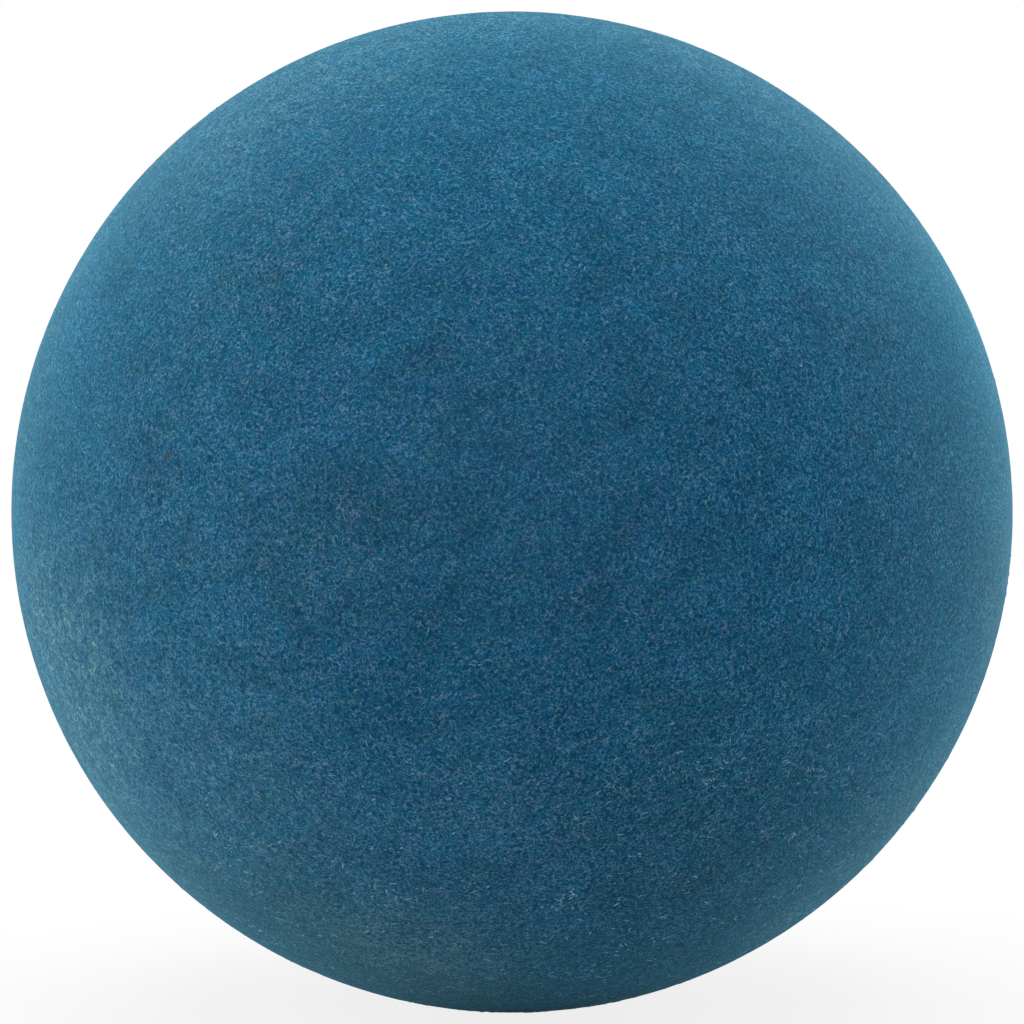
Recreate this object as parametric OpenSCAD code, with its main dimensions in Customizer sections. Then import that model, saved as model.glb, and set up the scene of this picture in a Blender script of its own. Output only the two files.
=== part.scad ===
// Hollow rubber ball for beach paddle games.
// Two moulded half-shells are cemented rim to rim, and the closed ball is then buffed all over.
// The origin is the ball's centre. +Z is up, and the seam lies in the XZ plane, so that the pole of
// the front half-shell points along -Y.

/* [Ball] */
// Outside diameter of the buffed ball
ball_d = 57; // [45:0.5:66]
// Thickness of the rubber wall
wall = 4; // [2.5:0.1:6]

/* [Seam] */
// Thickness of the cured cement film between the two rims
film_t = 0.2; // [0.1:0.05:0.5]
// Depth that buffing leaves the softer film below the rubber
film_sink = 0.05; // [0.02:0.01:0.2]
// Leg of the bevel moulded round the inner edge of each rim
rim_bevel = 0.8; // [0.4:0.1:1.5]
// How far the bead of squeezed-out cement stands into the hollow
bead_rise = 0.5; // [0.2:0.1:0.7]

/* [Hidden] */

$fn = 160;

rubber_blue = [0.13, 0.36, 0.50];
cement_blue = [0.10, 0.25, 0.34];

ball_r = ball_d / 2;
hollow_r = ball_r - wall;

// Each rim face lies half a film away from the seam plane.
rim_z = film_t / 2;
// The bevel starts on the hollow at this height above the seam plane and meets the rim face wider out.
bevel_top_z = rim_z + rim_bevel;
bevel_top_r = sqrt(hollow_r * hollow_r - bevel_top_z * bevel_top_z);
bevel_rim_r = bevel_top_r + rim_bevel;

// The bead's inner face is an arc through both bevel edges that stands bead_rise into the hollow.
bead_arc_r = (bevel_top_z * bevel_top_z + bead_rise * bead_rise) / (2 * bead_rise);
bead_arc_x = bevel_top_r - bead_rise + bead_arc_r;

// Stands a part that was turned about Z with its seam at z = 0 upright, with its pole towards -Y.
module pole_to_front() {
    rotate([90, 0, 0]) children();
}

// One moulded half, pole up, with its rim face half a film above z = 0.
module half_shell() {
    difference() {
        sphere(r = ball_r);
        sphere(r = hollow_r);
        // Everything below the ground rim face
        translate([0, 0, rim_z - ball_d])
            cylinder(r = ball_d, h = ball_d);
        // Bevel round the inner edge of the rim
        translate([0, 0, rim_z])
            cylinder(r1 = bevel_rim_r, r2 = bevel_top_r, h = rim_bevel);
    }
}

// The half that faces the viewer.
module front_half_shell() {
    color(rubber_blue) pole_to_front() half_shell();
}

// The half behind it, the same moulding turned round.
module rear_half_shell() {
    color(rubber_blue) pole_to_front() mirror([0, 0, 1]) half_shell();
}

// Half of the cement's section, right of the axis: the film between the rim faces, the wedge between
// the two bevels, and the bead that stands into the hollow.
module cement_section() {
    intersection() {
        circle(r = ball_r - film_sink);
        translate([bevel_rim_r, -rim_z])
            square([wall, film_t]);
    }
    polygon([
        [bevel_rim_r, -rim_z],
        [bevel_rim_r, rim_z],
        [bevel_top_r, bevel_top_z],
        [bevel_top_r, -bevel_top_z]
    ]);
    intersection() {
        translate([bead_arc_x, 0])
            circle(r = bead_arc_r);
        translate([bevel_top_r - bead_rise, -bevel_top_z])
            square([bead_rise, 2 * bevel_top_z]);
    }
}

// The cured cement that joins the halves, one ring all the way round the seam.
module seam_cement() {
    color(cement_blue) pole_to_front() rotate_extrude() cement_section();
}

front_half_shell();
rear_half_shell();
seam_cement();
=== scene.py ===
# Beach paddle ball, dressed: two buffed rubber half-shells, the cement between them, and the lint on them.
# Metres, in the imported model's frame: the origin is the ball's centre, +Z is up, the seam lies in XZ,
# and the pole of the front half-shell points along -Y, towards the camera.
import math

import bmesh
import bpy
import numpy as np
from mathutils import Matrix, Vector, noise


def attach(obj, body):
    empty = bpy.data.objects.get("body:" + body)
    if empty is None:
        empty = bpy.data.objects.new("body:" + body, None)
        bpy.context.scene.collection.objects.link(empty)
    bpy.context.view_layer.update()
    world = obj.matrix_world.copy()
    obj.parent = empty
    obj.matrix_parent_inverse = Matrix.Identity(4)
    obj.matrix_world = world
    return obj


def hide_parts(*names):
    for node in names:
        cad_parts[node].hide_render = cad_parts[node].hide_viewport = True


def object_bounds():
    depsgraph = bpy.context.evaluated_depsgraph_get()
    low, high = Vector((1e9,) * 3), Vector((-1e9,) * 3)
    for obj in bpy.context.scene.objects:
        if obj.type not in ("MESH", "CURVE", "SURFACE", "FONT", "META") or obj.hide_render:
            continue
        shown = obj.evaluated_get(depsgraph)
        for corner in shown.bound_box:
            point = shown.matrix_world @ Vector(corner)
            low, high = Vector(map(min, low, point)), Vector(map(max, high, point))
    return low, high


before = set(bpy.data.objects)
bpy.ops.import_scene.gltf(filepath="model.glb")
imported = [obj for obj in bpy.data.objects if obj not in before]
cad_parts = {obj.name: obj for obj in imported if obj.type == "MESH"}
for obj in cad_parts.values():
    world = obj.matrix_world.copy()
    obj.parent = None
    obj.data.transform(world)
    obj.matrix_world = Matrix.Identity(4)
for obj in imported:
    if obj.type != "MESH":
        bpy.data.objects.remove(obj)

cad_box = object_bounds()
scene = bpy.context.scene
scene.view_settings.view_transform = "Standard"

MM = 0.001

# The ball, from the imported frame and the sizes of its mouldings
BALL_R = (cad_box[1].y - cad_box[0].y) / 2
WALL = 4 * MM
FILM_T = 0.2 * MM
RIM_BEVEL = 0.8 * MM
RIM_Y = FILM_T / 2
BEVEL_Y = RIM_Y + RIM_BEVEL
HOLLOW_R = BALL_R - WALL
BEVEL_TOP_R = math.sqrt(HOLLOW_R**2 - BEVEL_Y**2)
BEVEL_RIM_R = BEVEL_TOP_R + RIM_BEVEL

# Camera: the outline is a circle in the middle of a square picture.
PICTURE_PX = 1024
OUTLINE_RADIUS_PX = 500.6
CAMERA_DISTANCE = 0.30
CAMERA_ELEVATION = math.radians(5)
SENSOR_MM = 36
# The slope, seen from the camera, of a line that just touches the ball
OUTLINE_SLOPE = math.tan(math.asin(BALL_R / CAMERA_DISTANCE))


def make_camera():
    data = bpy.data.cameras.new("camera")
    camera = bpy.data.objects.new("camera", data)
    scene.collection.objects.link(camera)
    camera.location = (
        0,
        -CAMERA_DISTANCE * math.cos(CAMERA_ELEVATION),
        CAMERA_DISTANCE * math.sin(CAMERA_ELEVATION),
    )
    camera.rotation_euler = (math.pi / 2 - CAMERA_ELEVATION, 0, 0)
    frame_slope = OUTLINE_SLOPE * (PICTURE_PX / 2) / OUTLINE_RADIUS_PX
    data.sensor_width = SENSOR_MM
    data.lens = SENSOR_MM / 2 / frame_slope
    scene.camera = camera


def seen_at(across, up):
    """The place on the ball seen this far right of and above its middle, in outline radii."""
    right = Vector((1, 0, 0))
    above = Vector((0, math.sin(CAMERA_ELEVATION), math.cos(CAMERA_ELEVATION)))
    towards = Vector((0, -math.cos(CAMERA_ELEVATION), math.sin(CAMERA_ELEVATION)))
    sight = ((right * across + above * up) * OUTLINE_SLOPE - towards).normalized()
    eye = towards * CAMERA_DISTANCE
    nearest = -eye.dot(sight)
    half_chord = math.sqrt(max(0.0, BALL_R**2 - CAMERA_DISTANCE**2 + nearest**2))
    return eye + sight * (nearest - half_chord)


# Node wiring


def feed(tree, socket, value):
    """Links a socket to another node's output, or sets its own value."""
    if isinstance(value, bpy.types.NodeSocket):
        tree.links.new(value, socket)
    else:
        socket.default_value = value


def put(tree, kind, inputs=None, **settings):
    """A new node with these settings, fed with these inputs by name."""
    node = tree.nodes.new(kind)
    for name, value in settings.items():
        setattr(node, name, value)
    for name, value in (inputs or {}).items():
        feed(tree, node.inputs[name], value)
    return node


def sums(tree, operation, *values):
    """What one sum makes of these numbers."""
    node = put(tree, "ShaderNodeMath", operation=operation)
    for socket, value in zip(node.inputs, values):
        feed(tree, socket, value)
    return node.outputs[0]


def arrows(tree, operation, *values, scale=None):
    """What one sum makes of these vectors."""
    node = put(tree, "ShaderNodeVectorMath", operation=operation)
    for socket, value in zip(node.inputs, values):
        feed(tree, socket, value)
    if scale is not None:
        feed(tree, node.inputs["Scale"], scale)
    return node.outputs["Value" if operation in ("DOT_PRODUCT", "LENGTH", "DISTANCE") else "Vector"]


def between(tree, value, low, high, to_low=0.0, to_high=1.0, way="LINEAR"):
    """value from low to high, on to to_low to to_high and held beyond."""
    inputs = {"Value": value, "From Min": low, "From Max": high, "To Min": to_low, "To Max": to_high}
    return put(tree, "ShaderNodeMapRange", inputs, interpolation_type=way).outputs["Result"]


def ease(tree, value, low, high, to_low=0.0, to_high=1.0):
    """The same, setting off and ending gently."""
    return between(tree, value, low, high, to_low, to_high, "SMOOTHSTEP")


def tint(tree, factor, base, over, blend_type="MIX"):
    """base with over laid on it by factor."""
    node = put(tree, "ShaderNodeMix", data_type="RGBA", blend_type=blend_type)
    feed(tree, node.inputs["Factor"], factor)
    feed(tree, node.inputs[6], base)
    feed(tree, node.inputs[7], over)
    return node.outputs[2]


def ramp(tree, value, stops):
    """A colour that runs evenly from stop to stop as value grows."""
    node = put(tree, "ShaderNodeValToRGB", {"Fac": value})
    marks = node.color_ramp.elements
    while len(marks) < len(stops):
        marks.new(0.5)
    for mark, (at, colour) in zip(marks, stops):
        mark.position = at
        mark.color = colour
    return node.outputs["Color"]


def clouds(tree, place, scale, detail=0.0, roughness=0.5, lacunarity=2.0, distortion=0.0):
    """Soft noise, as one value (Fac) and as three (Color)."""
    inputs = {
        "Vector": place,
        "Scale": scale,
        "Detail": detail,
        "Roughness": roughness,
        "Lacunarity": lacunarity,
        "Distortion": distortion,
    }
    return put(tree, "ShaderNodeTexNoise", inputs).outputs


def rotate(tree, place, kind, **turn):
    """The place, turned about the ball's centre."""
    inputs = {"Vector": place, **turn}
    return put(tree, "ShaderNodeVectorRotate", inputs, rotation_type=kind).outputs["Vector"]


def rgb(red, green, blue):
    return (red, green, blue, 1.0)


def new_group(name, inputs, outputs):
    """An empty shader node group with named sockets, and its inside ends."""
    group = bpy.data.node_groups.new(name, "ShaderNodeTree")
    for label, (kind, value) in inputs.items():
        socket = group.interface.new_socket(label, in_out="INPUT", socket_type=kind)
        if value is not None:
            socket.default_value = value
    for label, kind in outputs.items():
        group.interface.new_socket(label, in_out="OUTPUT", socket_type=kind)
    return group, group.nodes.new("NodeGroupInput").outputs, group.nodes.new("NodeGroupOutput").inputs


def use_group(tree, group, **inputs):
    node = tree.nodes.new("ShaderNodeGroup")
    node.node_tree = group
    for name, value in inputs.items():
        feed(tree, node.inputs[name], value)
    return node.outputs


def new_material(name):
    """A material, its nodes, its shader and the place on the ball in millimetres."""
    material = bpy.data.materials.new(name)
    material.use_nodes = True
    tree = material.node_tree
    shader = tree.nodes["Principled BSDF"]
    coordinates = tree.nodes.new("ShaderNodeTexCoord").outputs["Object"]
    place = arrows(tree, "SCALE", coordinates, scale=1 / MM)
    return material, tree, shader, place


def raise_relief(tree, shader, height, depth):
    """Bumps the shader's surface: a height of 1 stands for depth."""
    bump = put(tree, "ShaderNodeBump", {"Height": height, "Distance": depth, "Strength": 1.0})
    feed(tree, shader.inputs["Normal"], bump.outputs["Normal"])


SHEEN_ROUGHNESS = 0.5


def set_finish(shader, roughness=None, specular=0.05, sheen=0.0, sheen_tint=None):
    """Sets what is the same all over a finish."""
    shader.inputs["Specular IOR Level"].default_value = specular
    shader.inputs["Sheen Weight"].default_value = sheen
    shader.inputs["Sheen Roughness"].default_value = SHEEN_ROUGHNESS
    if roughness is not None:
        shader.inputs["Roughness"].default_value = roughness
    if sheen_tint is not None:
        shader.inputs["Sheen Tint"].default_value = sheen_tint


# Node groups
VECTOR = "NodeSocketVector"
FLOAT = "NodeSocketFloat"
# Turns the lattice of the grain, and of the colour patches, away from the ball's axes, so that no lattice
# plane lies along the face
GRAIN_TURN = (0.6, 0.7, 0.4)
# A stroke is full inside the first share of its half-width or half-length, and gone at the second.
STROKE_ACROSS = (0.2, 1.3)
STROKE_ALONG = (0.6, 1.0)
# Swirls are this fine beside the lumps. A curl runs along the swirls' middle value and ends this far off it.
SWIRL_FINENESS = 0.5
SWIRL_MIDDLE = 0.5
CURL_REACH = 0.09
# How much of the height curls and lumps give
CURL_RISE = 0.22
LUMP_RISE = 0.9
# Heights at which the nap starts and is full, and how steeply it grows
NAP_FROM = 0.25
NAP_FULL = 0.85
NAP_STEEPNESS = 1.6


def strokes_group():
    """Short bent strokes lying flat on the ball, one to a cell, each in a direction of its own."""
    group, given, result = new_group(
        "Fibre strokes",
        {
            "Place": (VECTOR, None),
            "Cell": (FLOAT, 0.4),
            "Length": (FLOAT, 0.4),
            "Width": (FLOAT, 0.1),
            "Bend": (FLOAT, 2.0),
            "Shift": (VECTOR, None),
        },
        {"Stroke": FLOAT, "Chance": FLOAT},
    )
    spot = arrows(group, "SCALE", given["Place"], scale=sums(group, "DIVIDE", 1.0, given["Cell"]))
    spot = arrows(group, "ADD", spot, given["Shift"])
    cell = put(group, "ShaderNodeTexVoronoi", {"Vector": spot, "Scale": 1.0, "Randomness": 1.0}).outputs
    from_middle = arrows(group, "SUBTRACT", spot, cell["Position"])
    from_middle = arrows(group, "SCALE", from_middle, scale=given["Cell"])
    outward = arrows(group, "NORMALIZE", given["Place"])
    aim = arrows(group, "SUBTRACT", cell["Color"], (0.5, 0.5, 0.5))
    beside = arrows(group, "NORMALIZE", arrows(group, "CROSS_PRODUCT", outward, aim))
    ahead = arrows(group, "CROSS_PRODUCT", beside, outward)
    along = arrows(group, "DOT_PRODUCT", from_middle, ahead)
    across = arrows(group, "DOT_PRODUCT", from_middle, beside)
    chance = put(group, "ShaderNodeTexWhiteNoise", {"Vector": cell["Color"]}).outputs["Value"]
    bend = sums(group, "MULTIPLY", sums(group, "SUBTRACT", chance, 0.5), given["Bend"])
    bow = sums(group, "MULTIPLY", bend, sums(group, "MULTIPLY", along, along))
    off_line = sums(group, "ABSOLUTE", sums(group, "SUBTRACT", across, bow))
    half_width = sums(group, "MULTIPLY", given["Width"], 0.5)
    half_length = sums(group, "MULTIPLY", given["Length"], 0.5)
    width_share = sums(group, "DIVIDE", off_line, half_width)
    length_share = sums(group, "DIVIDE", sums(group, "ABSOLUTE", along), half_length)
    in_width = ease(group, width_share, STROKE_ACROSS[1], STROKE_ACROSS[0])
    in_length = ease(group, length_share, STROKE_ALONG[1], STROKE_ALONG[0])
    feed(group, result["Stroke"], sums(group, "MULTIPLY", in_width, in_length))
    feed(group, result["Chance"], chance)
    return group


def grain_group():
    """The torn nap that buffing leaves: thin pale curls over fine lumps."""
    group, given, result = new_group(
        "Buffed grain",
        {"Place": (VECTOR, None), "Size": (FLOAT, 0.10), "Curl": (FLOAT, 0.5)},
        {"Nap": FLOAT, "Height": FLOAT},
    )
    askew = rotate(group, given["Place"], "EULER_XYZ", Rotation=GRAIN_TURN)
    per_mm = sums(group, "DIVIDE", 1.0, given["Size"])
    swirls_per_mm = sums(group, "MULTIPLY", per_mm, SWIRL_FINENESS)
    folds = {"detail": 1.0, "lacunarity": 0.5, "distortion": given["Curl"]}
    lumps = clouds(group, askew, per_mm, **folds)["Fac"]
    swirl = clouds(group, askew, swirls_per_mm, **folds)["Fac"]
    off_crest = sums(group, "ABSOLUTE", sums(group, "SUBTRACT", swirl, SWIRL_MIDDLE))
    curls = ease(group, off_crest, CURL_REACH, 0.0)
    height = sums(group, "MULTIPLY_ADD", curls, CURL_RISE, sums(group, "MULTIPLY", lumps, LUMP_RISE))
    feed(group, result["Height"], height)
    nap = sums(group, "POWER", between(group, height, NAP_FROM, NAP_FULL), NAP_STEEPNESS)
    feed(group, result["Nap"], nap)
    return group


# Buffed outside. Sizes are in millimetres. A patch is its place, in outline radii right of and above the
# middle of the face, its reach in millimetres, and its amount. A span is the low and the high of a noise or
# of the nap, and what they become: 0 and 1, if it doesn't say.
# The pits' darker blue is partly painted shade, and the tips' paler blue partly painted light on the fibres
PIT_BLUE = rgb(0.0004, 0.034, 0.090)
NAP_BLUE = rgb(0.0076, 0.083, 0.158)
TIP_BLUE = rgb(0.086, 0.191, 0.299)
# How high in the pile the nap's own blue lies
NAP_BLUE_AT = 0.35
NAP_GRAIN = 0.112
NAP_CURL = 0.5
NAP_RELIEF = 0.035 * MM
NAP_ROUGHNESS = (0.75, 0.95)
SHREDS = {"Cell": 0.42, "Length": 0.50, "Width": 0.10, "Bend": 2.5}
SHRED_RISE = 0.14
SHRED_RARITY = 2.0
# The wheel crossed the seam to level it: there the nap is longest that way, and rougher.
# The nap's fineness across the seam, at the seam and how much more at the poles; then the contrast that the
# roughness adds, and the distances from the seam at which that is gone and is all there
SEAM_FINENESS = 0.36
POLE_FINENESS = 0.50
SEAM_ROUGHNESS = 0.60
SEAM_FAR = 18.0
SEAM_NEAR = 2.0
# The nap's contrast, the height in the pile that it leaves alone, and where the contrast is stronger or
# weaker
NAP_CONTRAST = 1.02
NAP_MIDDLE = 0.33
# Painted shade: the strong patch low on the ball stands in for light raking across the nap there
NAP_CONTRAST_PATCHES = (
    (0.30, -0.90, 24, 0.45),
    (0.85, -0.05, 22, 0.12),
    (0.00, 0.05, 20, -0.15),
)
# The buffing wheel ran across the face, rising to the right, and left the colour in slightly drawn-out
# patches.
WHEEL_RISE = math.radians(27)
WHEEL_DRAW = (0.65, 1.0, 1.0)
HUE_SIZE = 0.36
HUE_SPAN = (0.3, 0.7)
TEAL_CAST = rgb(0.56, 1.01, 1.00)
PLUM_CAST = rgb(1.44, 0.99, 1.00)
OLIVE_CAST = rgb(1.00, 1.02, 0.93)
INDIGO_CAST = rgb(1.00, 0.98, 1.07)
WORN_SIZE = 2.4
WORN_SPAN = (0.25, 0.75, 0.80, 1.20)
# Dust lies in blotches, more of it in flecks, on the tips of the nap and as wisps.
DUST_GREY = rgb(0.17, 0.32, 0.35)
BLOTCH_SIZE = 1.8
BLOTCH_SPAN = (0.3, 0.7, 0.2, 1.8)
FLECK_SIZE = 0.5
FLECK_SPAN = (0.4, 0.7, 0.4, 2.4)
CLING_SPAN = (0.0, 0.8, 0.2, 1.6)
WISPS = {"Cell": 0.50, "Length": 0.60, "Width": 0.14, "Bend": 3.0, "Shift": (7.0, 3.0, 5.0)}
WISP_DUST = 1.6
# The rough nap along the seam holds dust all the way round, as far from the seam as this.
SEAM_DUST = 0.07
SEAM_DUST_FAR = 14.0
DUSTY_PATCHES = (
    (-0.90, -0.30, 11, 0.21),
    (-0.70, -0.10, 15, 0.05),
    (-0.55, -0.55, 13, 0.07),
    (-0.78, -0.58, 10, 0.14),
    (-0.15, -0.92, 12, 0.12),
    (-0.05, -0.62, 8, 0.05),
    (-0.35, 0.88, 9, 0.05),
    (-0.60, 0.70, 8, 0.07),
    (0.58, -0.79, 6, 0.10),
)
REAR_DUSTY_PATCHES = (
    (0.30, 0.50, 11, 0.06),
    (-0.55, -0.20, 10, 0.08),
    (0.60, -0.55, 9, 0.09),
    (-0.10, -0.85, 12, 0.12),
    (0.85, 0.25, 8, 0.07),
)
# Where the blue is multiplied by another colour, and by what: the rubber's own marks, and painted light and
# shade, as said at each
# Painted shade: darker and redder low on the ball, most right of its middle, where less light reaches
PAINTED_WARM_SHADE = rgb(1.45, 0.72, 0.50)
PAINTED_WARM_SHADE_PATCHES = (
    (0.42, -0.66, 16, 0.32),
    (-0.30, -0.72, 9, 0.07),
)
# Painted shade: darker low on the ball, on its shaded underside, and at places along the outline
PAINTED_SHADE = rgb(0.70, 0.73, 0.80)
PAINTED_SHADE_PATCHES = (
    (-0.75, 0.61, 9, 0.55),
    (-0.95, 0.30, 8, 0.60),
    (0.88, 0.25, 7, 0.35),
    (0.45, -0.72, 11, 0.50),
    (0.15, -0.78, 12, 0.35),
)
BROWNER = rgb(1.60, 1.00, 0.82)
BROWNER_PATCHES = (
    (-0.50, 0.48, 9, 0.35),
    (-0.35, -0.08, 7, 0.30),
    (-0.20, -0.90, 10, 0.60),
    (-0.50, -0.80, 11, 0.75),
    (0.97, -0.15, 6, 0.40),
    (0.76, -0.60, 8, 0.75),
)
GREENER = rgb(0.50, 0.97, 1.00)
GREENER_PATCHES = (
    (-0.66, -0.25, 8, 0.35),
    (0.15, -0.88, 9, 0.50),
    (0.88, 0.33, 9, 0.90),
    (0.05, 0.88, 14, 0.50),
    (0.55, -0.50, 10, 0.40),
    (0.72, -0.08, 12, 0.25),
)
# Painted highlights: brighter, bluer glints at the outline, right and left, and brighter patches right of
# and above the middle
PAINTED_HIGHLIGHT = rgb(0.85, 1.08, 1.16)
PAINTED_HIGHLIGHT_PATCHES = (
    (0.92, 0.38, 8, 0.65),
    (-0.85, 0.44, 7, 0.60),
    (0.10, 0.52, 12, 0.20),
    (0.50, 0.15, 14, 0.22),
)
STAINS_AND_PAINTED_LIGHT = (
    (PAINTED_WARM_SHADE, PAINTED_WARM_SHADE_PATCHES),
    (PAINTED_SHADE, PAINTED_SHADE_PATCHES),
    (BROWNER, BROWNER_PATCHES),
    (GREENER, GREENER_PATCHES),
    (PAINTED_HIGHLIGHT, PAINTED_HIGHLIGHT_PATCHES),
)
# Colours that cover the blue instead
HANDLED_GREY = rgb(0.060, 0.060, 0.060)
HANDLED_PATCHES = (
    (-0.05, 0.05, 18, 0.07),
)
RUST_BROWN = rgb(0.045, 0.040, 0.030)
RUST_SPECKS = (
    (-0.685, 0.114, 0.42, 0.8),
    (-0.28, -0.08, 0.22, 0.6),
    (0.945, -0.16, 0.30, 0.7),
)


def patches(tree, place, spots, pole=-1):
    """How much of the spots' amounts reaches a place. pole is -1 for spots on the front, 1 on the rear."""
    total = 0.0
    for across, up, reach, amount in spots:
        middle = seen_at(across, up) / MM
        middle.y *= -pole
        apart = arrows(tree, "DISTANCE", place, tuple(middle))
        total = sums(tree, "ADD", total, ease(tree, apart, reach, 0.0, 0.0, amount))
    return total


def nap_on_seam(tree, place, grain):
    """The distance from the seam, and the nap, drawn out across the seam."""
    along = put(tree, "ShaderNodeSeparateXYZ", {"Vector": place}).outputs
    from_seam = sums(tree, "ABSOLUTE", along["Y"])
    fineness = sums(tree, "MULTIPLY_ADD", from_seam, POLE_FINENESS / (BALL_R / MM), SEAM_FINENESS)
    inputs = {"X": along["X"], "Y": sums(tree, "MULTIPLY", along["Y"], fineness), "Z": along["Z"]}
    drawn_out = put(tree, "ShaderNodeCombineXYZ", inputs).outputs["Vector"]
    return from_seam, use_group(tree, grain, Place=drawn_out, Size=NAP_GRAIN, Curl=NAP_CURL)


def pile_blue(tree, place, from_seam, nap, strokes):
    """The blue from the pits up to the tips of the nap and of the torn shreds in it, partly painted shade
    and light.
    """
    shred = use_group(tree, strokes, Place=place, **SHREDS)
    shreds = sums(tree, "MULTIPLY", shred["Stroke"], sums(tree, "POWER", shred["Chance"], SHRED_RARITY))
    pile = sums(tree, "MULTIPLY_ADD", shreds, SHRED_RISE, nap["Nap"])
    # More contrast low on the ball is painted shade, for light raking across the nap
    contrast = sums(tree, "ADD", patches(tree, place, NAP_CONTRAST_PATCHES), NAP_CONTRAST)
    seam_contrast = ease(tree, from_seam, SEAM_FAR, SEAM_NEAR, 0.0, SEAM_ROUGHNESS)
    contrast = sums(tree, "ADD", contrast, seam_contrast)
    pile = sums(tree, "MULTIPLY_ADD", sums(tree, "SUBTRACT", pile, NAP_MIDDLE), contrast, NAP_MIDDLE)
    return ramp(tree, pile, ((0.0, PIT_BLUE), (NAP_BLUE_AT, NAP_BLUE), (1.0, TIP_BLUE)))


def wheel_drawn(tree, place):
    """The place, shrunk along the wheel's run so that what lies there is drawn out that way."""
    turned = rotate(tree, place, "Y_AXIS", Angle=WHEEL_RISE)
    shrunk = arrows(tree, "MULTIPLY", turned, WHEEL_DRAW)
    return rotate(tree, shrunk, "EULER_XYZ", Rotation=GRAIN_TURN)


def wandering_hue(tree, colour, drawn):
    """The colour, going a little teal or plum, olive or indigo, dimmer or brighter from place to place."""
    wander = clouds(tree, drawn, 1 / HUE_SIZE, detail=1.0, roughness=0.8, lacunarity=0.5)["Color"]
    wander = put(tree, "ShaderNodeSeparateColor", {"Color": wander}).outputs
    cast = tint(tree, between(tree, wander["Red"], *HUE_SPAN), TEAL_CAST, PLUM_CAST)
    colour = tint(tree, 1.0, colour, cast, "MULTIPLY")
    cast = tint(tree, between(tree, wander["Green"], *HUE_SPAN), OLIVE_CAST, INDIGO_CAST)
    colour = tint(tree, 1.0, colour, cast, "MULTIPLY")
    worn = clouds(tree, drawn, 1 / WORN_SIZE, detail=3.0, roughness=0.6)["Fac"]
    return arrows(tree, "SCALE", colour, scale=between(tree, worn, *WORN_SPAN))


def dust_cover(tree, place, drawn, from_seam, nap, strokes):
    """How much of the colour the dust hides."""
    blotches = clouds(tree, drawn, 1 / BLOTCH_SIZE, detail=4.0, roughness=0.75)["Fac"]
    blotches = between(tree, blotches, *BLOTCH_SPAN)
    flecks = clouds(tree, place, 1 / FLECK_SIZE, detail=2.0)["Fac"]
    flecks = between(tree, flecks, *FLECK_SPAN)
    mottle = sums(tree, "MULTIPLY", blotches, flecks)
    wisp = use_group(tree, strokes, Place=place, **WISPS)
    wisps = sums(tree, "MULTIPLY", wisp["Stroke"], wisp["Chance"])
    clung = sums(tree, "MULTIPLY_ADD", wisps, WISP_DUST, between(tree, nap["Nap"], *CLING_SPAN))
    front = patches(tree, place, DUSTY_PATCHES)
    rear = patches(tree, place, REAR_DUSTY_PATCHES, 1)
    dust = sums(tree, "ADD", front, rear)
    dust = sums(tree, "ADD", dust, ease(tree, from_seam, SEAM_DUST_FAR, SEAM_NEAR, 0.0, SEAM_DUST))
    return sums(tree, "MULTIPLY", dust, sums(tree, "MULTIPLY", mottle, clung))


def buffed_rubber(grain, strokes):
    """The ball's outside: a pale nap over darker pits, wandering a little in hue, dusty in places, and with
    painted shade and highlights.
    """
    material, tree, shader, place = new_material("buffed_outside")
    from_seam, nap = nap_on_seam(tree, place, grain)
    drawn = wheel_drawn(tree, place)
    colour = wandering_hue(tree, pile_blue(tree, place, from_seam, nap, strokes), drawn)
    colour = tint(tree, dust_cover(tree, place, drawn, from_seam, nap, strokes), colour, DUST_GREY)
    colour = tint(tree, patches(tree, place, HANDLED_PATCHES), colour, HANDLED_GREY)
    # Stains, painted shade and painted highlights multiply the colour
    for multiplier, spots in STAINS_AND_PAINTED_LIGHT:
        colour = tint(tree, patches(tree, place, spots), colour, multiplier, "MULTIPLY")
    colour = tint(tree, patches(tree, place, RUST_SPECKS), colour, RUST_BROWN)
    feed(tree, shader.inputs["Base Color"], colour)
    feed(tree, shader.inputs["Roughness"], ease(tree, nap["Nap"], 0.0, 1.0, *NAP_ROUGHNESS))
    raise_relief(tree, shader, nap["Height"], NAP_RELIEF)
    set_finish(shader, specular=0.01, sheen=0.36, sheen_tint=rgb(0.26, 0.79, 1.0))
    return material


# Moulded and cured skins. Grains are in millimetres.
SKIN_RELIEF = 0.02 * MM
MOULDED_GRAIN = 0.9
MOULDED_DARKEST = rgb(0.006, 0.055, 0.110)
MOULDED_PALEST = rgb(0.012, 0.078, 0.145)
MOULDED_ROUGHNESS = (0.45, 0.60)
CEMENT_GRAIN = 0.22
CEMENT_DARKEST = rgb(0.004, 0.030, 0.060)
CEMENT_PALEST = rgb(0.016, 0.085, 0.150)
CEMENT_ROUGHNESS = (0.55, 0.85)


def skin_material(name, grain, grain_size, darkest, palest, roughness):
    """A skin whose faint lumps shade between two colours and two roughnesses, and its shader."""
    material, tree, shader, place = new_material(name)
    skin = use_group(tree, grain, Place=place, Size=grain_size)
    feed(tree, shader.inputs["Base Color"], tint(tree, skin["Nap"], darkest, palest))
    feed(tree, shader.inputs["Roughness"], ease(tree, skin["Nap"], 0.0, 1.0, *roughness))
    raise_relief(tree, shader, skin["Height"], SKIN_RELIEF)
    return material, shader


def moulded_rubber(grain):
    """The rim and the hollow, as they left the mould: smoother and darker than the buffed outside."""
    material, shader = skin_material(
        "moulded_rubber", grain, MOULDED_GRAIN, MOULDED_DARKEST, MOULDED_PALEST, MOULDED_ROUGHNESS
    )
    set_finish(shader, specular=0.3)
    return material


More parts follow.
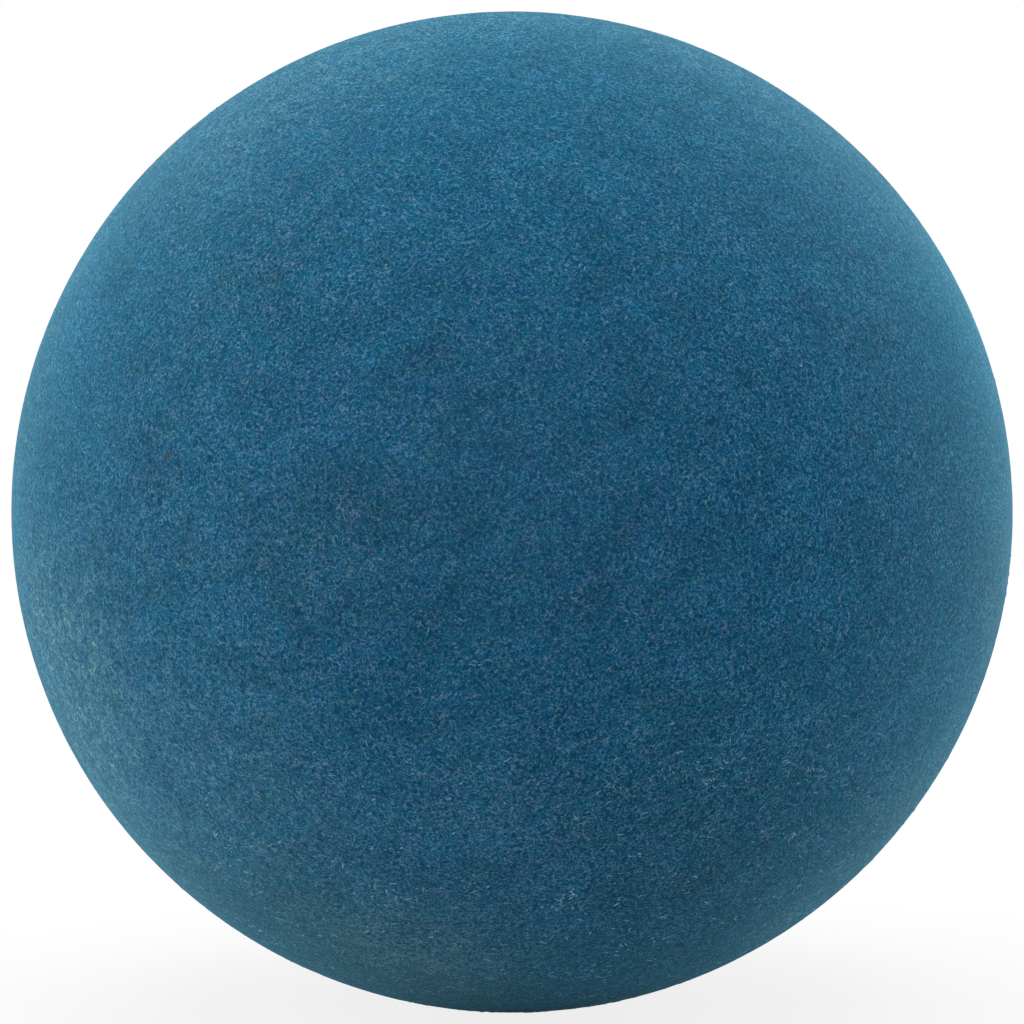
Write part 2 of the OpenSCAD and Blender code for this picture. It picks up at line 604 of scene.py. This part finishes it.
def cured_cement(grain):
    """The cement film, darker than the rubber, and dusty where buffing has dragged over it."""
    material, shader = skin_material(
        "cured_cement", grain, CEMENT_GRAIN, CEMENT_DARKEST, CEMENT_PALEST, CEMENT_ROUGHNESS
    )
    set_finish(shader, specular=0.2, sheen=0.2, sheen_tint=rgb(0.30, 0.80, 1.0))
    return material


# Half-shells. The outside has this many cells across the face of a cube that is blown up to the ball, and
# the hollow has one for each step of those.
OUTER_CELLS = 176
HOLLOW_STEP = 8
# Buffing leaves the outside slightly swollen and ridged.
SWELL_SIZE = 7 * MM
SWELL_HEIGHT = 0.012 * MM
RIDGE_SIZE = 0.9 * MM
RIDGE_HEIGHT = 0.012 * MM
# The regions of a half-shell's faces, and their places on its own map: the outside as one big disc, the
# hollow and the rim as small ones in corners
OUTSIDE, HOLLOW, RIM = range(3)
MAP_MIDDLES = ((0.5, 0.5), (0.075, 0.075), (0.925, 0.075))
MAP_RADII = (0.49, 0.07, 0.07)
# Stands in for the length of an arrow that has none, at the pole of the map
TINY = 1e-9
# The corners of a cell, in turn
CELL_CORNERS = ((0, 0), (1, 0), (1, 1), (0, 1))


def buffed_relief(spot):
    """How far the buffed rubber stands out of the true sphere at a spot."""
    swell = noise.noise(spot / SWELL_SIZE)
    ridge = 0.5 - abs(noise.noise(spot / RIDGE_SIZE)) * 2
    return SWELL_HEIGHT * swell + RIDGE_HEIGHT * ridge


def half_cube_grid(cells):
    """Directions and quads of half a blown-up cube, y up to its middle, and its open edge in turn."""
    half = cells // 2
    order = {}

    def corner(*at):
        return order.setdefault(at, len(order))

    quads = []
    for a in range(cells):
        for b in range(cells):
            quads.append([corner(a + p, 0, b + q) for p, q in CELL_CORNERS])
        for b in range(half):
            for edge in (0, cells):
                quads.append([corner(edge, b + p, a + q) for p, q in CELL_CORNERS])
                quads.append([corner(a + q, b + p, edge) for p, q in CELL_CORNERS])
    lattice = np.array(list(order), float)
    directions = np.tan(math.pi / 4 * (2 * lattice / cells - 1))
    directions /= np.linalg.norm(directions, axis=1)[:, None]
    edge = np.nonzero(lattice[:, 1] == half)[0]
    turn = np.arctan2(directions[edge, 2], directions[edge, 0])
    return directions, np.array(quads), edge[np.argsort(turn)]


def rim_bridge(outer_edge, rim_edge, hollow_edge):
    """Faces from the outer edge in to the rim's inner edge, and down the bevel to the hollow's edge."""
    faces = []
    middle = HOLLOW_STEP // 2
    for j, here in enumerate(rim_edge):
        after = (j + 1) % len(rim_edge)
        reach = [outer_edge[(j * HOLLOW_STEP + s) % len(outer_edge)] for s in range(HOLLOW_STEP + 1)]
        faces += [[reach[s], reach[s + 1], here] for s in range(middle)]
        faces += [[reach[s], reach[s + 1], rim_edge[after]] for s in range(middle, HOLLOW_STEP)]
        faces.append([reach[middle], rim_edge[after], here])
        faces.append([here, rim_edge[after], hollow_edge[after], hollow_edge[j]])
    return faces


def shell_form(pole):
    """A closed half-shell's corners, as directions and as places, its faces, and the faces' regions."""
    outer, outer_quads, outer_edge = half_cube_grid(OUTER_CELLS)
    hollow, hollow_quads, hollow_edge = half_cube_grid(OUTER_CELLS // HOLLOW_STEP)
    turned = np.array([1, -pole, 1])
    outer = outer * turned
    hollow = hollow * turned
    relief = np.array([buffed_relief(Vector(spot * BALL_R)) for spot in outer])
    outside = outer * (BALL_R + relief)[:, None]
    outside[outer_edge, 1] = pole * RIM_Y
    inside = hollow * HOLLOW_R
    inside[hollow_edge] = hollow[hollow_edge] * BEVEL_TOP_R
    inside[hollow_edge, 1] = pole * BEVEL_Y
    rim = hollow[hollow_edge] * BEVEL_RIM_R
    rim[:, 1] = pole * RIM_Y
    first_inside = len(outside)
    first_rim = first_inside + len(inside)
    rim_faces = rim_bridge(outer_edge, first_rim + np.arange(len(rim)), first_inside + hollow_edge)
    directions = np.concatenate([outer, hollow, hollow[hollow_edge]])
    places = np.concatenate([outside, inside, rim])
    faces = outer_quads.tolist() + (hollow_quads + first_inside).tolist() + rim_faces
    region = np.repeat((OUTSIDE, HOLLOW, RIM), (len(outer_quads), len(hollow_quads), len(rim_faces)))
    return directions, places, faces, region


def lay_flat(directions, pole):
    """An equal-area flattening of half a sphere round its pole, on to a disc of radius 1."""
    flat = directions[:, [0, 2]]
    flat = flat / np.maximum(np.linalg.norm(flat, axis=1), TINY)[:, None]
    return flat * np.sqrt(np.maximum(0, 1 - pole * directions[:, 1]))[:, None]


def lay_out_map(mesh, directions, places, region, pole):
    """Puts the corners of a half-shell's faces in their places on its own map."""
    sides = np.empty(len(mesh.polygons), np.int32)
    mesh.polygons.foreach_get("loop_total", sides)
    corner_region = np.repeat(region, sides)
    corner = np.empty(len(mesh.loops), np.int32)
    mesh.loops.foreach_get("vertex_index", corner)
    round_pole = lay_flat(directions, pole)
    on_rim = places[:, [0, 2]] / BALL_R
    disc = np.where(corner_region[:, None] == RIM, on_rim[corner], round_pole[corner])
    middles = np.array(MAP_MIDDLES)[corner_region]
    radii = np.array(MAP_RADII)[corner_region]
    layer = mesh.uv_layers.new(name="OFBake")
    layer.uv.foreach_set("vector", (middles + radii[:, None] * disc).astype(np.float32).ravel())


def half_shell(name, pole, node, outside_finish, inside_finish):
    """A closed half-shell with its relief and finishes. pole is -1 for the front, 1 for the rear."""
    directions, places, faces, region = shell_form(pole)
    mesh = bpy.data.meshes.new(name)
    mesh.from_pydata(places.tolist(), [], faces)
    shell = bmesh.new()
    shell.from_mesh(mesh)
    bmesh.ops.recalc_face_normals(shell, faces=shell.faces)
    shell.to_mesh(mesh)
    shell.free()
    mesh.polygons.foreach_set("use_smooth", region != RIM)
    mesh.materials.append(outside_finish)
    mesh.materials.append(inside_finish)
    mesh.polygons.foreach_set("material_index", np.where(region == OUTSIDE, 0, 1))
    lay_out_map(mesh, directions, places, region, pole)
    piece = bpy.data.objects.new(name, mesh)
    scene.collection.objects.link(piece)
    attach(piece, "root")
    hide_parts(node)


# Lint
LINT_SEED = 57
LINT_TUFTS = 760
# Spots tried for each tuft that is kept
TRIES_PER_TUFT = 15
LINT_IN_TUFT = 5
TUFT_REACH = 0.45 * MM
# Shortest and longest strand, and how much shorter ones outnumber longer ones
LINT_LENGTH = (0.14 * MM, 0.45 * MM)
LINT_SHORTNESS = 1.5
LINT_RADIUS = (0.032 * MM, 0.056 * MM)
LINT_BOW = 0.70
# How far a strand's loose end lifts at most, how late along the strand, how high its middle line stands, in
# radii, and how flat it is pressed
LINT_LIFT = 0.012 * MM
LINT_LIFT_LATENESS = 3
LINT_STANDING = 0.05
LINT_FLATNESS = 0.5
# Places along a strand, in its lengths from its middle, and the average of their squares over all of it
LINT_STATIONS = np.linspace(-0.5, 0.5, 5)
AVERAGE_SQUARE = 1 / 12
# The share by which a strand thins to its ends, how late along it, and its sides
LINT_TAPER = 0.6
LINT_TAPER_LATENESS = 4
LINT_SIDES = 3
# Strands mostly lie a little off level, rising to the right as seen from the front; the spreads are those of
# tufts and of strands in a tuft.
LINT_RISE = math.radians(25)
TUFT_SPREAD = math.radians(38)
LINT_SPREAD = math.radians(24)
# The ball lay on one side, which took up most lint: the least share kept elsewhere, and the heights towards
# that side, in ball radii, between which it grows to all of it
LINT_SIDE = Vector((0.35, -0.45, -0.82)).normalized()
LINT_LEAST = 0.08
LINT_FEW_BELOW = 0.35
LINT_ALL_ABOVE = 0.95
# Further tufts, placed as the patches on the outside are
LINTY_PATCHES = (
    (-0.90, -0.25, 8, 1.2),
    (-0.60, 0.72, 7, 0.6),
    (0.80, -0.52, 8, 0.8),
    (-0.35, -0.84, 11, 1.5),
    (0.20, -0.90, 11, 1.8),
)


def tuft_spots(draw):
    """Directions from the ball's centre to the tufts, closest together on the side that the ball lay on."""
    spots = draw.normal(size=(TRIES_PER_TUFT * LINT_TUFTS, 3))
    spots /= np.linalg.norm(spots, axis=1)[:, None]
    near = np.clip((spots @ LINT_SIDE - LINT_FEW_BELOW) / (LINT_ALL_ABOVE - LINT_FEW_BELOW), 0, 1)
    share = LINT_LEAST + (1 - LINT_LEAST) * near
    for across, up, reach, amount in LINTY_PATCHES:
        apart = np.linalg.norm(spots * BALL_R - np.array(seen_at(across, up)), axis=1)
        share = share + amount * np.clip(1 - apart / (reach * MM), 0, 1)
    return spots[draw.random(len(spots)) < share][:LINT_TUFTS]


def lint_paths(draw):
    """The strands' middle lines, the ways out of the ball along them, and the radii along them."""
    tufts = tuft_spots(draw)
    tuft = np.repeat(np.arange(LINT_TUFTS), draw.integers(1, LINT_IN_TUFT + 1, LINT_TUFTS))
    count = len(tuft)
    outward = tufts[tuft] + draw.normal(size=(count, 3)) * (TUFT_REACH / BALL_R)
    outward /= np.linalg.norm(outward, axis=1)[:, None]
    level = np.cross((0, 0, 1), outward)
    level /= np.linalg.norm(level, axis=1)[:, None]
    heading = draw.normal(LINT_RISE, TUFT_SPREAD, LINT_TUFTS)[tuft] + draw.normal(0, LINT_SPREAD, count)
    ahead = level * np.cos(heading)[:, None] + np.cross(outward, level) * np.sin(heading)[:, None]
    beside = np.cross(outward, ahead)
    shortest, longest = LINT_LENGTH
    length = (shortest + (longest - shortest) * draw.random(count) ** LINT_SHORTNESS)[:, None]
    bow = draw.normal(0, LINT_BOW, count)[:, None]
    thick = draw.uniform(*LINT_RADIUS, count)[:, None]
    lift = draw.uniform(0, LINT_LIFT, count)[:, None]
    station = LINT_STATIONS[None, :]
    along = station * length
    across = bow * length * (station**2 - AVERAGE_SQUARE)
    height = thick * LINT_STANDING + lift * (station + 0.5) ** LINT_LIFT_LATENESS
    path = (
        outward[:, None, :] * BALL_R
        + ahead[:, None, :] * along[:, :, None]
        + beside[:, None, :] * across[:, :, None]
    )
    up = path / np.linalg.norm(path, axis=2)[:, :, None]
    relief = np.array([buffed_relief(Vector(spot)) for spot in (up * BALL_R).reshape(-1, 3)])
    path = up * (BALL_R + relief.reshape(height.shape) + height)[:, :, None]
    radius = thick * (1 - LINT_TAPER * (2 * station) ** LINT_TAPER_LATENESS)
    return path, up, radius


def strand_faces(count):
    """Faces of this many closed strands, with their rings of corners one after another."""
    stations = len(LINT_STATIONS)
    faces = []
    for strand in range(count):
        first = strand * stations * LINT_SIDES
        for station in range(stations - 1):
            ring = first + station * LINT_SIDES
            next_ring = ring + LINT_SIDES
            for step in range(LINT_SIDES):
                after = (step + 1) % LINT_SIDES
                faces.append((ring + step, ring + after, next_ring + after, next_ring + step))
        last = first + (stations - 1) * LINT_SIDES
        faces.append(tuple(first + step for step in reversed(range(LINT_SIDES))))
        faces.append(tuple(last + step for step in range(LINT_SIDES)))
    return faces


def clinging_lint(finish):
    """Short, thin strands of lint lying in loose tufts on the nap."""
    path, up, radius = lint_paths(np.random.default_rng(LINT_SEED))
    forward = np.gradient(path, axis=1)
    side = np.cross(up, forward)
    side /= np.linalg.norm(side, axis=2)[:, :, None]
    rings = []
    for step in range(LINT_SIDES):
        turn = 2 * math.pi * step / LINT_SIDES + math.pi / 2
        off_middle = math.cos(turn) * side + LINT_FLATNESS * math.sin(turn) * up
        rings.append(path + radius[:, :, None] * off_middle)
    places = np.stack(rings, axis=2).reshape(-1, 3)
    faces = strand_faces(len(path))
    mesh = bpy.data.meshes.new("clinging_lint")
    mesh.from_pydata(places.tolist(), [], faces)
    mesh.polygons.foreach_set("use_smooth", np.ones(len(faces), bool))
    mesh.materials.append(finish)
    piece = bpy.data.objects.new("clinging_lint", mesh)
    scene.collection.objects.link(piece)
    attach(piece, "root")


# Lint's colours run from dim to pale, and some of it is pinker. Sizes and spans are as on the outside.
LINT_SHADES = (
    (0.0, rgb(0.040, 0.120, 0.185)),
    (0.5, rgb(0.080, 0.185, 0.260)),
    (1.0, rgb(0.155, 0.265, 0.340)),
)
LINT_SHADE_SIZE = 0.7
LINT_SHADE_SPAN = (0.3, 0.7)
PINKER = rgb(1.10, 0.98, 1.00)
PINKER_SIZE = 1.6
PINKER_SPAN = (0.48, 0.62)
# Painted light: lint low on the ball is painted brighter for the light it catches: how much, and between
# which heights from the ball's middle, in millimetres
PAINTED_LINT_LIGHT = 2.0
PAINTED_LINT_LIGHT_FROM = -8.0
PAINTED_LINT_LIGHT_TO = -22.0


def lint_fibre():
    """Lint from dim blue, half sunk in the nap, to pale grey, pinker on some strands, and painted brighter
    low on the ball.
    """
    material, tree, shader, place = new_material("lint_fibre")
    shade = clouds(tree, place, 1 / LINT_SHADE_SIZE, detail=1.0)["Fac"]
    shade = between(tree, shade, *LINT_SHADE_SPAN)
    pinker = clouds(tree, place, 1 / PINKER_SIZE, detail=1.0)["Fac"]
    pinker = ease(tree, pinker, *PINKER_SPAN)
    colour = tint(tree, pinker, ramp(tree, shade, LINT_SHADES), PINKER, "MULTIPLY")
    # Painted light: lint low on the ball is brightened
    height = put(tree, "ShaderNodeSeparateXYZ", {"Vector": place}).outputs["Z"]
    painted_lint_light = between(tree, height, PAINTED_LINT_LIGHT_FROM, PAINTED_LINT_LIGHT_TO, 1.0, PAINTED_LINT_LIGHT)
    feed(tree, shader.inputs["Base Color"], arrows(tree, "SCALE", colour, scale=painted_lint_light))
    set_finish(shader, roughness=0.9, sheen=0.3, sheen_tint=rgb(0.60, 0.85, 1.0))
    return material


# Studio
WORLD_GLOW = 0.10
WHITE = rgb(1, 1, 1)
FLOOR_SIZE = 3.0
# The white share of what is seen of the floor, close to the ball and further off, and where each holds
FLOOR_WHITE_NEAR = 0.84
FLOOR_WHITE_FAR = 1.0
FLOOR_NEAR = 1.0 * BALL_R
FLOOR_FAR = 3.5 * BALL_R
FLOOR_PALE = rgb(0.80, 0.80, 0.80)
LAMP_DISTANCE = 0.5
# Azimuth is 0 at the camera and 90 to its right, elevation is above the horizon, both in degrees; then the
# width and height in metres, and watts.
SOFTBOXES = {
    "top_softbox": (0, 90, 0.50, 0.50, 2.5),
    "top_back_softbox": (180, 55, 0.50, 0.35, 0.5),
    "left_softbox": (-80, 20, 0.35, 0.50, 1.5),
    "right_softbox": (80, 20, 0.35, 0.50, 0.4),
    "left_front_softbox": (-45, 45, 0.40, 0.40, 0.5),
    "right_front_softbox": (45, 45, 0.40, 0.40, 0.5),
    "right_back_softbox": (130, 15, 0.35, 0.50, 0.8),
}


def seen_directly(tree):
    """1 where the camera, a reflection or clear material looks straight at a surface, else 0."""
    path = tree.nodes.new("ShaderNodeLightPath").outputs
    seen = sums(tree, "MAXIMUM", path["Is Camera Ray"], path["Is Glossy Ray"])
    return sums(tree, "MAXIMUM", seen, path["Is Transmission Ray"])


def pale_floor():
    """Matt and pale under the lamps, and nearly white to whoever looks at it, but for the ball's shadow."""
    material = bpy.data.materials.new("pale_floor")
    material.use_nodes = True
    tree = material.node_tree
    tree.nodes.clear()
    matt = put(tree, "ShaderNodeBsdfDiffuse", {"Color": FLOOR_PALE}).outputs["BSDF"]
    white = put(tree, "ShaderNodeEmission", {"Color": WHITE, "Strength": 1.0}).outputs["Emission"]
    coordinates = tree.nodes.new("ShaderNodeTexCoord").outputs["Object"]
    away = arrows(tree, "LENGTH", arrows(tree, "MULTIPLY", coordinates, (1, 1, 0)))
    share = ease(tree, away, FLOOR_NEAR, FLOOR_FAR, FLOOR_WHITE_NEAR, FLOOR_WHITE_FAR)
    share = sums(tree, "MULTIPLY", seen_directly(tree), share)
    mix = put(tree, "ShaderNodeMixShader", {"Fac": share})
    feed(tree, mix.inputs[1], matt)
    feed(tree, mix.inputs[2], white)
    put(tree, "ShaderNodeOutputMaterial", {"Surface": mix.outputs["Shader"]})
    return material


def make_floor():
    half = FLOOR_SIZE / 2
    mesh = bpy.data.meshes.new("floor")
    corners = [(x * half, y * half, -BALL_R) for x, y in ((-1, -1), (1, -1), (1, 1), (-1, 1))]
    mesh.from_pydata(corners, [], [(0, 1, 2, 3)])
    mesh.materials.append(pale_floor())
    floor = bpy.data.objects.new("floor", mesh)
    scene.collection.objects.link(floor)


def light_studio():
    world = bpy.data.worlds.new("studio")
    scene.world = world
    world.use_nodes = True
    tree = world.node_tree
    tree.nodes.clear()
    strength = ease(tree, seen_directly(tree), 0.0, 1.0, WORLD_GLOW, 1.0)
    glow = put(tree, "ShaderNodeBackground", {"Color": WHITE, "Strength": strength})
    put(tree, "ShaderNodeOutputWorld", {"Surface": glow.outputs["Background"]})
    for name, (azimuth, elevation, width, height, watts) in SOFTBOXES.items():
        around = math.radians(azimuth)
        above = math.radians(elevation)
        level = math.cos(above)
        away = Vector((math.sin(around) * level, -math.cos(around) * level, math.sin(above)))
        lamp = bpy.data.lights.new(name, "AREA")
        lamp.shape = "RECTANGLE"
        lamp.size = width
        lamp.size_y = height
        lamp.energy = watts
        softbox = bpy.data.objects.new(name, lamp)
        softbox.location = away * LAMP_DISTANCE
        softbox.rotation_euler = (-away).to_track_quat("-Z", "Y").to_euler()
        softbox.visible_camera = False
        scene.collection.objects.link(softbox)


make_camera()
strokes = strokes_group()
grain = grain_group()
outside_finish = buffed_rubber(grain, strokes)
inside_finish = moulded_rubber(grain)
half_shell("buffed_front_half", -1, "front_half_shell", outside_finish, inside_finish)
half_shell("buffed_rear_half", 1, "rear_half_shell", outside_finish, inside_finish)
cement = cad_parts["seam_cement"].data
cement.materials.clear()
cement.materials.append(cured_cement(grain))
clinging_lint(lint_fibre())
make_floor()
light_studio()
